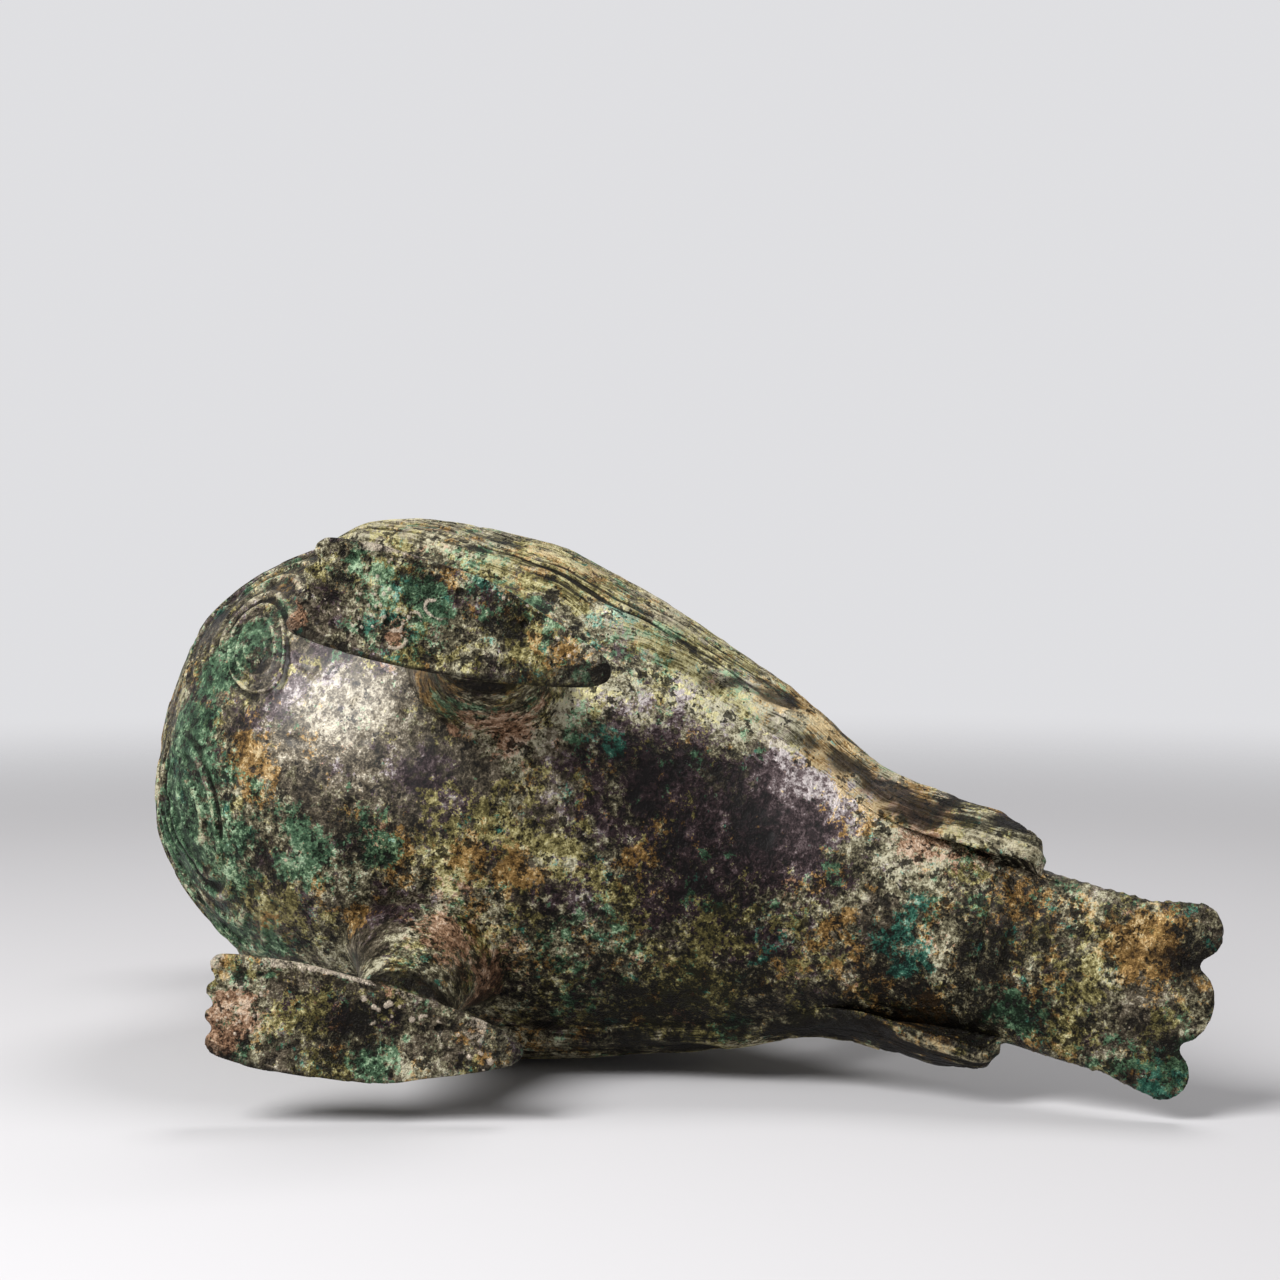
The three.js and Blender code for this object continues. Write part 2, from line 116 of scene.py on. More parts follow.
# The most triangles that a piece keeps
MOST_TRIANGLES = 190000


class Outline:
    """A smooth curve through a list of stations, without overshoot."""

    def __init__(self, stations):
        self.at, self.value = np.array(stations, float).T
        slope = np.diff(self.value) / np.diff(self.at)
        before, after = slope[:-1], slope[1:]
        same_way = before * after > 0
        total = np.where(same_way, before + after, 1.0)
        middle = np.where(same_way, 2 * before * after / total, 0.0)
        self.tangent = np.concatenate([slope[:1], middle, slope[-1:]])

    def __call__(self, where):
        where = np.clip(where, self.at[0], self.at[-1])
        i = np.clip(np.searchsorted(self.at, where, "right") - 1, 0, len(self.at) - 2)
        step = self.at[i + 1] - self.at[i]
        t = (where - self.at[i]) / step
        return (
            self.value[i] * (1 + 2 * t) * (1 - t) ** 2
            + self.tangent[i] * step * t * (1 - t) ** 2
            + self.value[i + 1] * t * t * (3 - 2 * t)
            + self.tangent[i + 1] * step * t * t * (t - 1)
        )


half_width, belly_height = Outline(HALF_WIDTH), Outline(BELLY_HEIGHT)
flank_height, back_height = Outline(FLANK_HEIGHT), Outline(BACK_HEIGHT)
wing_upper, wing_lower, wing_lift = Outline(WING_UPPER), Outline(WING_LOWER), Outline(WING_LIFT)


def skin_point(y, angle, offset):
    """Points on the body's skin in millimetres, at stations y and angles above the flank line."""
    flank = flank_height(y)
    edge = np.where(np.sin(angle) > 0, back_height(y), belly_height(y))
    return np.stack([
        (half_width(y) + offset) * np.cos(angle),
        y * (1 + offset / HALF_LENGTH),
        flank + (np.abs(edge - flank) + offset) * np.sin(angle),
    ], axis=-1)


class Grain:
    """Repeatable smooth noise in space, from -1 to 1."""

    SIDE = 32

    def __init__(self, seed):
        self.lattice = np.random.default_rng(seed).uniform(-1, 1, (self.SIDE,) * 3)

    def __call__(self, points, size):
        scaled = points / size
        corner = np.floor(scaled).astype(int)
        part = scaled - corner
        part = part * part * (3 - 2 * part)
        total = np.zeros(len(points))
        for dx in (0, 1):
            for dy in (0, 1):
                for dz in (0, 1):
                    share = (
                        (part[:, 0] if dx else 1 - part[:, 0])
                        * (part[:, 1] if dy else 1 - part[:, 1])
                        * (part[:, 2] if dz else 1 - part[:, 2])
                    )
                    x, y, z = ((corner + (dx, dy, dz)) % self.SIDE).T
                    total += share * self.lattice[x, y, z]
        return total

    def layered(self, points, size, layers=3):
        total = sum(self(points + 17.3 * k, size / 2**k) / 2**k for k in range(layers))
        return total / (2 - 2 ** (1 - layers))


grain = Grain(7)


def smooth_step(low, high, value):
    t = np.clip((value - low) / (high - low), 0, 1)
    return t * t * (3 - 2 * t)


def only(piece):
    """Selects one piece and makes it active."""
    bpy.ops.object.select_all(action="DESELECT")
    piece.select_set(True)
    bpy.context.view_layer.objects.active = piece


def apply_modifier(piece, kind, **settings):
    only(piece)
    modifier = piece.modifiers.new(kind.lower(), kind)
    for key, value in settings.items():
        setattr(modifier, key, value)
    bpy.ops.object.modifier_apply(modifier=modifier.name)


def vertices(piece):
    """The piece's vertices in millimetres."""
    flat = np.empty(len(piece.data.vertices) * 3)
    piece.data.vertices.foreach_get("co", flat)
    return flat.reshape(-1, 3) / MM


def normals(piece):
    flat = np.empty(len(piece.data.vertices) * 3)
    piece.data.vertices.foreach_get("normal", flat)
    return flat.reshape(-1, 3)


def move_to(piece, points):
    """Sets the piece's vertices, given in millimetres."""
    piece.data.vertices.foreach_set("co", (points * MM).ravel())
    piece.data.update()


def casting(node, name, face, rounds):
    """A copy of a frame node, remade of even faces, with its edges softened as by wear."""
    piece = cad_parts[node].copy()
    piece.data = piece.data.copy()
    piece.name = piece.data.name = name
    piece.parent = None
    for key in list(piece.keys()):
        del piece[key]
    bpy.context.scene.collection.objects.link(piece)
    piece.data.materials.clear()
    only(piece)
    bpy.ops.object.mode_set(mode="EDIT")
    bpy.ops.mesh.select_all(action="SELECT")
    bpy.ops.mesh.remove_doubles(threshold=0.001 * MM)
    bpy.ops.object.mode_set(mode="OBJECT")
    apply_modifier(piece, "REMESH", mode="VOXEL", voxel_size=face * MM, use_smooth_shade=True)
    apply_modifier(piece, "SMOOTH", factor=0.5, iterations=rounds)
    return piece


def refine(piece, wanted):
    """Halves the faces whose middle satisfies a test on millimetre points."""
    only(piece)
    mesh = piece.data
    middles = np.empty(len(mesh.polygons) * 3)
    mesh.polygons.foreach_get("center", middles)
    chosen = wanted(middles.reshape(-1, 3) / MM)
    mesh.vertices.foreach_set("select", np.zeros(len(mesh.vertices), bool))
    mesh.edges.foreach_set("select", np.zeros(len(mesh.edges), bool))
    mesh.polygons.foreach_set("select", chosen)
    bpy.ops.object.mode_set(mode="EDIT")
    bpy.ops.mesh.select_mode(type="FACE")
    bpy.ops.mesh.subdivide(number_cuts=1)
    bpy.ops.object.mode_set(mode="OBJECT")


def note(piece, name, values):
    """Stores a number for each vertex, which the piece's material reads."""
    layer = piece.data.attributes.get(name) or piece.data.attributes.new(name, "FLOAT", "POINT")
    layer.data.foreach_set("value", np.asarray(values, np.float32))


def raise_by(piece, height, carved=1.0):
    """Moves each vertex out along its normal, by a height in millimetres.

    The height is a function of the points that gives the lie of the surface and its carving, and the
    carving is noted too, so that the material can lay dirt and painted shade in its grooves and a painted
    highlight on its ridges.
    """
    points = vertices(piece)
    lie, carving = height(points)
    move_to(piece, points + normals(piece) * (lie + carved * carving)[:, None])
    note(piece, "carving", carving)


def share_of_skin(points):
    """How far out points lie, where 1 is the body's skin, with the smaller half-width there."""
    x, y, z = points.T
    flank = flank_height(y)
    height = np.where(z > flank, back_height(y) - flank, flank - belly_height(y))
    width = half_width(y)
    return np.sqrt((x / width) ** 2 + ((z - flank) / height) ** 2), np.minimum(width, height)


def to_skin(points, reach=0.8):
    """Brings points that lie near the body's outline on to it."""
    share, least = share_of_skin(points)
    near = np.abs(share - 1) * least < reach
    factor = np.where(near, 1 / np.maximum(share, 0.1), 1)
    x, y, z = points.T
    flank = flank_height(y)
    return np.stack([x * factor, y, flank + (z - flank) * factor], axis=-1), near


def skin_angle(points):
    """Degrees above the flank line, the same on both sides."""
    x, y, z = points.T
    flank = flank_height(y)
    height = np.where(z > flank, back_height(y) - flank, flank - belly_height(y))
    return np.degrees(np.arctan2((z - flank) / height, np.abs(x) / half_width(y)))


def thin_out(piece):
    """Merges faces where the surface is even, until a piece has few enough triangles."""
    piece.data.calc_loop_triangles()
    count = len(piece.data.loop_triangles)
    if count > MOST_TRIANGLES:
        apply_modifier(piece, "DECIMATE", ratio=MOST_TRIANGLES / count)


def finish_piece(piece, body, node, material):
    thin_out(piece)
    piece.data.materials.clear()
    piece.data.materials.append(material)
    only(piece)
    bpy.ops.object.shade_smooth()
    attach(piece, body)
    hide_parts(node)


def rounded(distance, reach):
    """The height of a quarter round, from 0 at an edge to 1 at a reach from it."""
    return np.sqrt(1 - (1 - np.clip(distance / reach, 0, 1)) ** 2)


def spiral(across, up, radius, pitch):
    """A raised coil: its ridges from 0 to 1, and the disc that it lies on."""
    distance = np.hypot(across, up)
    turn = np.arctan2(up, across) / (2 * np.pi)
    ridge = smooth_step(-0.1, 0.9, np.cos(2 * np.pi * (distance / pitch - turn)))
    return ridge, smooth_step(radius + 0.7, radius - 0.9, distance)


def hair(along, across, pitch, length, seed):
    """Fine strands that start and end like combed hair: 1 on a strand, 0 beside it."""
    place = np.stack([along / length, across / pitch, np.full(len(along), seed)], axis=-1)
    return 1 - smooth_step(0.0, 0.55, np.abs(grain(place, 1.0)))


def blobs(across, along, cell, seed):
    """Scattered round bumps: how near each point is to the middle of one, from 0 to 1."""
    random = np.random.default_rng(seed).uniform(0, 1, (4, 64, 64))
    best = np.zeros(len(across))
    column, row = np.floor(across / cell).astype(int), np.floor(along / cell).astype(int)
    for i in (-1, 0, 1):
        for j in (-1, 0, 1):
            x, y, size, kept = random[:, (column + i) % 64, (row + j) % 64]
            distance = np.hypot(across - (column + i + x) * cell, along - (row + j + y) * cell)
            reach = cell * (0.15 + 0.35 * size) * (kept > 0.5)
            best = np.maximum(best, 1 - distance / np.maximum(reach, 1e-3))
    return best


def scales(across, along, width, length):
    """Overlapping round feathers in staggered rows, whose free ends lie towards +along."""
    row = np.floor(along / length)
    height = np.zeros(len(across))
    taken = np.zeros(len(across), bool)
    for behind in (1, 0):
        this_row = row - behind
        column = across / width + 0.5 * (this_row % 2)
        off_axis = (column - np.round(column)) * width
        beyond = along - this_row * length
        reach = np.hypot(off_axis / (0.56 * width), np.maximum(beyond - 0.35 * length, 0) / (0.9 * length))
        inside = (reach < 1) & ~taken
        shaft = smooth_step(0.09, 0.03, np.abs(off_axis) / width)
        barbs = np.cos(2 * np.pi * (beyond + 0.9 * np.abs(off_axis)) / 2.4)
        shape = 0.45 + 0.5 * reach**3 + 0.2 * shaft - 0.1 * barbs * (1 - shaft)
        height = np.where(inside, shape * smooth_step(1.0, 0.9, reach), height)
        taken |= inside
    return height


# Relief of the breast: a nest of oval ridges on each side, with arcs that run on round it towards
# the shoulder. The breast is nearly a ball, and places on it are distances across and along its
# skin. Each nest has its middle, the way its long axis points, its half-length and half-width, and
# how many ovals it holds.
BREAST_CENTRE = (-60, 92)
BREAST_RADIUS = 62
NESTS = [((27, -42.5), (0.52, 0.85), (14.5, 7), 3), ((-15.5, -38), (-0.91, -0.41), (15.5, 9.5), 2)]


def breast_place(points):
    """Distances across and up along the breast's skin, and how far forward of its middle."""
    x, y, z = points.T
    forward, rise = BREAST_CENTRE[0] - y, z - BREAST_CENTRE[1]
    return x, BREAST_RADIUS * np.arctan2(rise, np.maximum(forward, 0.1)), forward


def nest_reach(points, nest):
    """How far out points lie from a nest's middle, where 1 is its outermost oval."""
    (middle_x, middle_up), (lean_x, lean_up), (long, wide), _ = nest
    across, up, _ = breast_place(points)
    across, up = across - middle_x, up - middle_up
    lengthways, sideways = across * lean_x + up * lean_up, up * lean_x - across * lean_up
    return np.hypot(lengthways / long, sideways / wide), np.sign(middle_x) * across, up


def breast_relief(points):
    """Both nests, the groove round each, and the broken arcs beyond it."""
    forward = breast_place(points)[2]
    total = 0
    for nest in NESTS:
        reach, outwards, up = nest_reach(points, nest)
        bent = reach + 0.13 * grain.layered(points, 13, 3)
        ridge = smooth_step(0.25, 0.95, np.cos(2 * np.pi * (bent * nest[3] - 0.02)))
        ridge = ridge * (0.35 + 0.65 * smooth_step(-0.45, 0.25, grain.layered(points + 5, 8, 2)))
        inside = smooth_step(1.12, 1.04, bent)
        groove = smooth_step(0.13, 0.03, np.abs(bent - 1.14)) * smooth_step(-0.6, 0.1, grain(points + 9, 6))
        broken = smooth_step(-0.75, 0.1, grain.layered(points, 7, 2))
        arcs = smooth_step(0.15, 0.9, np.cos(2 * np.pi * bent * 2.3)) * broken
        shown = smooth_step(1.16, 1.3, bent) * smooth_step(4.2, 3.0, bent)
        shown = shown * smooth_step(-5, 7, 0.75 * outwards + 0.65 * up)
        total = total + inside * (1.1 * ridge - 0.25) - 0.65 * groove + shown * (1.1 * arcs - 0.25)
    return total * smooth_step(18, 30, forward)


def neck_reach(points):
    """How far out from the throat's axis points lie, where 1 is its skin."""
    x, y, _ = points.T
    return np.hypot(x / NECK_OUTER[0], (y - NECK_CENTRE_Y) / NECK_OUTER[1])


def head_reach(points):
    """The same for the head's widest outline."""
    x, y, _ = points.T
    return np.hypot(x / HEAD_HALF[0], (y - NECK_CENTRE_Y) / HEAD_HALF[1])


def back_relief(points):
    """Scale feathers on the back between the wings, and up the throat."""
    x, y, z = points.T
    angle = skin_angle(points)
    girth = 0.5 * (half_width(y) + back_height(y) - flank_height(y))
    across = np.sign(x) * (90 - angle) * np.radians(1) * girth
    share, least = share_of_skin(points)
    outside = np.abs(share - 1) * least < 1.6
    above = angle - np.where(y > -112, wing_upper(y), 0)
    shown = outside * smooth_step(2, 5, above) * smooth_step(74, 66, y) * smooth_step(-118, -108, y)
    plumage = (scales(across, y, *BACK_FEATHER) - 0.3) * shown
    around = np.arctan2(x, NECK_CENTRE_Y - y)
    radius = neck_reach(points)
    collar = smooth_step(1.5, 0.4, np.abs(z - (MOUTH_Z - 3.2)))
    throat = (radius > 0.985) & (z > NECK_FOOT_Z + 6) & ~outside
    ruff = scales(around * 45, MOUTH_Z - z, *THROAT_FEATHER) - 0.3
    ruff = ruff * smooth_step(MOUTH_Z - 4.5, MOUTH_Z - 6, z)
    return np.where(throat, ruff + 0.9 * collar * (z < MOUTH_Z - 1), plumage)


def body_piece():
    piece = casting("vessel_body", "owl_body", face=2.0, rounds=3)
    move_to(piece, to_skin(vertices(piece))[0])

    def open_to_view(middles):
        _, y, z = middles.T
        share, least = share_of_skin(middles)
        outside = np.abs(share - 1) * least < 1.6
        under_wing = (skin_angle(middles) > wing_lower(y) + 6) & (skin_angle(middles) < wing_upper(y) - 6)
        hidden = under_wing & (y > -100) & (y < 74)
        radius = neck_reach(middles)
        throat = (z > NECK_FOOT_Z) & (radius > 0.96) & ~outside
        return (outside & ~hidden) | throat

    def on_breast(middles):
        return (middles[:, 1] < -88) & (middles[:, 2] < 112) & to_skin(middles, 1.5)[1]

    def on_nests(middles):
        near = np.minimum(*(nest_reach(middles, nest)[0] for nest in NESTS)) < 1.9
        return near & (middles[:, 1] < -84) & (middles[:, 2] < 84) & to_skin(middles, 1.5)[1]

    for part in (open_to_view, on_breast, on_nests):
        refine(piece, part)

    def relief(points):
        outside = to_skin(points, 1.6)[1]
        carving = np.where(outside, breast_relief(points), 0) + back_relief(points)
        below_tail = 0.4 * smooth_step(TAIL_SEAM_Y - 4, TAIL_SEAM_Y - 1, points[:, 1])
        return np.where(outside, worn_skin(points), 0.1 * worn_skin(points)) - below_tail, 0.6 * carving

    raise_by(piece, relief)
    return piece


def worn_skin(points):
    """Low swells, dents and small pits that casting and corrosion left on the skin."""
    swell = 0.35 * grain.layered(points, 30, 2) + 0.16 * grain.layered(points, 7, 3)
    dents = -0.35 * smooth_step(0.35, 0.75, grain(points + 41, 4.2))
    return swell + dents - 0.3


def tail_piece():
    piece = casting("tail_fan", "owl_tail", face=0.7, rounds=4)
    points = vertices(piece)
    # the tail's root reaches over the end of the body, where the body's skin dips below it
    points[:, 1] -= 5 * smooth_step(TAIL_SEAM_Y + 8, TAIL_SEAM_Y + 0.5, points[:, 1])
    on_skin, _ = to_skin(points, 0.9)
    keep = smooth_step(106, 96, points[:, 1])[:, None]
    move_to(piece, points + (on_skin - points) * keep)

    def relief(points):
        x, y, z = points.T
        from_edge = np.abs(np.abs(x) - LOBE_EDGE)
        notch = np.minimum(from_edge, 5) / 5
        groove = (1 - notch**0.6) * smooth_step(100, 121, y)
        above = z > flank_height(y)
        barbs = np.cos(2 * np.pi * (y + 0.7 * from_edge) / 2.6) * above
        sunk = 0.5 * smooth_step(TAIL_SEAM_Y - 2, TAIL_SEAM_Y - 4.5, y)
        return worn_skin(points) - sunk, -0.4 * groove - 0.18 * barbs * smooth_step(80, 92, y)

    raise_by(piece, relief)
    return piece


# Relief of a wing: a coil at the shoulder, long feathers of hair-fine strands that run to the tip,
# and small coils near the heel and at the root of the tip, as [station, share of the wing's height]
WING_FEATHERS = 7
SHOULDER_AT = (-76, 0.5)
SHOULDER_RADIUS = 20
SMALL_COILS = [(-24, 0.06, 4.6), (55, 0.42, 3.4)]


def wing_relief(points, y, share, width):
    """A wing's carving, and how far across it each strand lies."""
    wave = 0.07 * grain.layered(points, 42, 2) + 0.025 * grain.layered(points, 13, 2)
    across = (share + wave) * width
    strands = 0.7 * hair(y, across, 1.7, 19, 3.5) + 0.5 * hair(y, across, 0.95, 12, 9.5)
    crusty = smooth_step(-35, 25, y)
    worn = smooth_step(-0.5, 0.15, grain.layered(points * (1, 0.5, 1), 9, 2) + 0.3 - 0.35 * crusty)
    strands = strands * worn + 0.45 * crusty * grain.layered(points * (1, 0.6, 1), 2.6, 2)
    place = (share + 1.4 * wave) * WING_FEATHERS
    grooves = smooth_step(0.10, 0.02, np.abs(place - np.round(place))) * (1 - 0.6 * crusty)
    grooves = grooves * smooth_step(0.4, 0.8, place)
    plumes = 1.25 * strands - 0.4 - 0.6 * grooves
    ridge, disc = spiral(y - SHOULDER_AT[0], (share - SHOULDER_AT[1]) * width, SHOULDER_RADIUS, 5.2)
    plumes = disc * (0.9 * ridge - 0.1 + 0.2 * strands) + (1 - disc) * plumes
    for station, height, radius in SMALL_COILS:
        ridge, disc = spiral(y - station, (share - height) * width, radius, radius * 0.55)
        plumes = disc * (0.9 * ridge + 0.1) + (1 - disc) * plumes
    return plumes, across


def feather_ends(y, share):
    """Extra height of the feathers that end before the tip, each with a round end."""
    total = 0
    for end, middle in ((44, 0.82), (61, 0.55)):
        round_end = end - 34 * (share - middle) ** 2
        total = total + 0.4 * smooth_step(0.8, -0.8, y - round_end)
    return total


# A wing's grid: faces along it, and faces across its inner and its outer side
WING_ROWS = 350
WING_INNER = 36
WING_OUTER = 220


def wing_piece(name, side):
    rounds = WING_INNER + WING_OUTER
    bpy.ops.mesh.primitive_grid_add(x_subdivisions=WING_ROWS, y_subdivisions=rounds, size=1)
    piece = bpy.context.object
    piece.name = piece.data.name = name
    flat = np.empty(len(piece.data.vertices) * 3)
    piece.data.vertices.foreach_get("co", flat)
    along_wing, turn, _ = flat.reshape(-1, 3).T + 0.5
    front, tip = WING_UPPER[0][0], WING_UPPER[-1][0]
    y = front + (tip - front) * along_wing
    # each row goes down the inner side, closer and closer, and back up the outer one
    turn = turn * rounds
    outside = turn > WING_INNER
    inwards = np.clip(1 - turn / WING_INNER, 0, 1) ** 1.6
    share = np.where(outside, (turn - WING_INNER) / WING_OUTER, inwards)
    low, high = np.radians(wing_lower(y)), np.radians(wing_upper(y) + 0.5)
    width = np.maximum(high - low, 0.02) * (half_width(y) + back_height(y) - flank_height(y)) / 2
    angle = low + (high - low) * share
    stand = wing_lift(y)
    lift = stand * (1 - smooth_step(0.45, 1, share))
    plain = skin_point(y, angle, lift)
    # the lower edge dies away on the body, but where the wing stands off it is a round lip
    lip = smooth_step(0.1, 1.4, stand)
    from_low = share * width
    edge = smooth_step(0, 8, from_low)
    edge = edge + (rounded(from_low, 1.9) - edge) * lip
    edge = edge * smooth_step(0, 6, (1 - share) * width) * smooth_step(0, 22, y - front)
    edge = edge * rounded(tip - y, 1.6)
    carving, strand_at = wing_relief(plain, y, share, width)
    carving = carving * edge
    swell = 0.2 * grain.layered(plain, 12, 3) + feather_ends(y, share) * edge
    top = (WING_THICKNESS + 0.12 + 0.5 * np.where(outside, carving, 0) + swell) * edge
    hollow = stand * (1 - smooth_step(0, WING_HOLLOW, share))
    lines = 0.12 * np.cos(2 * np.pi * from_low / 1.15)
    worn = np.where(outside, lift + top, hollow + lines) - 0.6
    points = skin_point(y, angle, worn)
    points[:, 0] *= side
    move_to(piece, points)
    # On the inner side the noted carving sits low, so the material paints the hollow under the wing dark as
    # painted shade, crossed by its fine lines.
    note(piece, "carving", np.where(outside, carving, 4 * lines - 0.3))
    note(piece, "along", y)
    note(piece, "across", strand_at)
    only(piece)
    bpy.ops.object.mode_set(mode="EDIT")
    bpy.ops.mesh.select_all(action="SELECT")
    bpy.ops.mesh.remove_doubles(threshold=0.01 * MM)
    bpy.ops.mesh.normals_make_consistent(inside=False)
    bpy.ops.object.mode_set(mode="OBJECT")
    return piece


# Round holes and blown rings in the soles, the left one's first: places to the side and to the
# heel from the middle of a sole, and radii, in millimetres
SOLE_HOLES = {
    1: [(6.4, 0.3, 1.1), (-4, -14, 0.8), (2.6, 15.8, 0.9)],
    -1: [(-5.5, 17.5, 1.1), (-3.4, -14.5, 0.8)],
}
SOLE_RINGS = {
    1: [(-1.9, -8, 1.5), (1.5, -3.6, 2.3), (-6.9, -11.6, 1.9)],
    -1: [(-6.5, 14.5, 1.6), (-4, 2, 1.2)],
}


def sole_place(points, side):
    """Distances to the outer side and to the heel from the middle of a sole."""
    return points[:, 0] * side - SOLE_AT[0], points[:, 1] - SOLE_AT[1]


def sole_marks(points, side):
    """A sole's bumps, holes, what lies inside its rim, and the rim, with a painted highlight along its
    upper edge and painted shade along its lower one.

    Above and below are as the camera sees them.
    """
    x, y, _ = points.T
    to_side, to_heel = sole_place(points, side)
    half = SOLE_HALF_WIDTH - SOLE_TAPER * np.abs(to_heel - SOLE_WIDEST) ** 2
    inset = smooth_step(0.6, 2.4, half - np.abs(to_side)) * smooth_step(36, 31, np.abs(to_heel))
    strip = smooth_step(4.2, 2, np.abs(to_side + half - 3)) * smooth_step(-6, 2, to_heel) * (side < 0)
    bumps = np.clip(blobs(x, y, 2.5, 5), 0, 1) ** 0.7 * strip
    small = np.clip(blobs(x, y, 1.7, 9), 0, 1) * smooth_step(0.15, 0.5, grain(points, 11))
    bumps = np.maximum(bumps, small)
    for aside, back, radius in SOLE_RINGS[side]:
        away = np.hypot(to_side - aside, 0.8 * (to_heel - back)) + 0.5 * grain(points, 1.9)
        ring = smooth_step(0.6, 0.1, np.abs(away - radius)) * smooth_step(-0.5, 0.1, grain(points, 3.1))
        bumps = np.maximum(bumps, 0.7 * ring)
    holes = np.zeros(len(points))
    for aside, back, radius in SOLE_HOLES[side]:
        away = np.hypot(to_side - aside, to_heel - back)
        holes = np.maximum(holes, smooth_step(radius * 1.15, radius * 0.7, away))
    # The rim is painted pale as a highlight on the side that faces the light, and dark as shade on the
    # other side.
    rim = np.maximum(smooth_step(1.2, 0.3, half - np.abs(to_side)), smooth_step(35, 36.6, to_heel))
    lit = smooth_step(-0.15, 0.3, side * to_side / half) * smooth_step(31, 27, to_heel)
    broken = smooth_step(-0.5, 0.3, grain.layered(points, 8, 2))
    return bumps, holes, inset, rim * (0.5 * lit * broken - 0.55 * (1 - lit))


def sink_root(points):
    """Stretches a shank up all round until its root sinks into the body's wall."""
    x, y, z = points.T
    share, least = share_of_skin(points)
    root = np.maximum(smooth_step(12, 39, z), smooth_step(4.5, 0.4, (share - 1) * least) * (z > 8))
    flank = flank_height(y)
    bulge = np.sqrt(1 - np.clip(x / half_width(y), -0.98, 0.98) ** 2)
    belly = flank - (flank - belly_height(y)) * bulge
    points[:, 2] += root * (belly + 1 - np.minimum(belly - 0.3, HIP_Z))


def leg_piece(node, name, side):
    piece = casting(node, name, face=0.75, rounds=3)
    refine(piece, lambda middles: middles[:, 2] < 1.8)

    def relief(points):
        _, y, z = points.T
        to_side, _ = sole_place(points, side)
        lumps = 0.4 * grain.layered(points, 9, 3) - 0.3
        sole = smooth_step(1.6, 0.5, z)
        bumps, holes, inset, _ = sole_marks(points, side)
        crust = 0.3 * smooth_step(-0.2, 0.5, grain.layered(points, 5, 3))
        pitted = inset * np.maximum(0.7 - crust - 0.6 * bumps + 0.7 * holes, 0)
        toes = 0.28 * np.cos(2 * np.pi * (to_side + 1) / 5.6) * smooth_step(-84, -90, y)
        toes = toes * smooth_step(3.4, 4.6, z) * smooth_step(14, 11, z)
        # The sole's side wall is pressed in a little and noted as a groove, so the material paints it dark:
        # painted shade on the wall.
        wall = smooth_step(1.4, 2.4, z) * smooth_step(7.5, 5, z)
        return lumps * (1 - 0.8 * sole) - sole * pitted, toes * (1 - sole) - 0.4 * wall

    raise_by(piece, relief)
    points = vertices(piece)
    bumps, holes, inset, rim = sole_marks(points, side)
    on_sole = smooth_step(1.9, 0.9, points[:, 2])
    # The sole marks noted here carry real nodules and holes, and also the rim's painted highlight and
    # painted shade.
    note(piece, "nodule_and_rim_light", ((bumps - 1.5 * holes) * inset + rim) * on_sole)
    sink_root(points)
    move_to(piece, points)
    return piece


def head_relief(points):
    """Round discs of fine rays about the eyes, brows, and scale feathers on crown and nape."""
    x, y, z = points.T
    around = np.degrees(np.arctan2(np.abs(x) / HEAD_HALF[0], (NECK_CENTRE_Y - y) / HEAD_HALF[1]))
    reach = head_reach(points)
    aside = np.radians(around - EYE_BEARING) * HEAD_HALF[0] * np.clip(reach, 0.5, 1)
    up = z - EYE_Z
    distance = np.hypot(aside, up)
    ray = np.cos(36 * np.arctan2(up, aside) + 1.2 * np.sin(distance))
    disc = smooth_step(16.5, 18, distance) * smooth_step(27.5, 26.5, distance)
    rim = smooth_step(1.5, 0.5, np.abs(distance - FACE_RIM))
    face = disc * (0.45 * ray - 0.15) + 0.9 * rim
    beyond = smooth_step(30, 31.5, distance)
    behind = np.arctan2(x, NECK_CENTRE_Y - y) * HEAD_HALF[0]
    climb = np.where(reach > 0.6, z - MOUTH_Z, 71 + (0.6 - reach) * 60)
    plumage = (scales(behind, 400 - climb, *HEAD_FEATHER) - 0.35) * beyond
    middle = smooth_step(2.5, 1.2, np.abs(x)) * (y < NECK_CENTRE_Y) * (z > 214)
    edge = smooth_step(2.2, 1.2, np.abs(z - MOUTH_Z - 3.0))
    band = z < MOUTH_Z + 6
    return np.where(band, 0.8 * edge, face + plumage * (1 - middle) + 0.9 * middle)


def head_piece():
    piece = casting("head_lid", "owl_head", face=1.25, rounds=3)

    def outer(middles):
        z = middles[:, 2]
        dome = np.clip((z - MOUTH_Z - 32) / 39, 0, 1)
        skin = 0.93 * np.sqrt(np.maximum(1 - dome**2.4, 0)) - 0.03
        return (z > MOUTH_Z + 0.8) & (head_reach(middles) > skin)

    refine(piece, outer)

    def relief(points):
        x, y, z = points.T
        inside = ~outer(points)
        eye = np.hypot(np.abs(x) - EYE_ASIDE, z - EYE_Z) < EYE_RADIUS
        eye &= y < NECK_CENTRE_Y - 34
        carving = np.where(inside | eye, 0, head_relief(points))
        return 0.25 * grain.layered(points, 14, 3) - 0.3, 0.9 * carving

    raise_by(piece, relief)
    return piece


def small_piece(node, name, face=0.6, carving=None):
    piece = casting(node, name, face, rounds=3)

    def relief(points):
        carved = carving(points) if carving else np.zeros(len(points))
        return 0.2 * grain.layered(points, 7, 3) - 0.25, carved

    raise_by(piece, relief)
    return piece


def handle_relief(points):
    """Two beads along the strap's edges, and cross bars between them."""
    x, y, z = points.T
    along_strap = np.arctan2(z - 112, y - 30) * 30
    bars = 0.35 * np.cos(2 * np.pi * along_strap / 5.2) * smooth_step(5.2, 4.2, np.abs(x))
    return bars + 0.4 * smooth_step(1.6, 0.6, np.abs(np.abs(x) - 6))


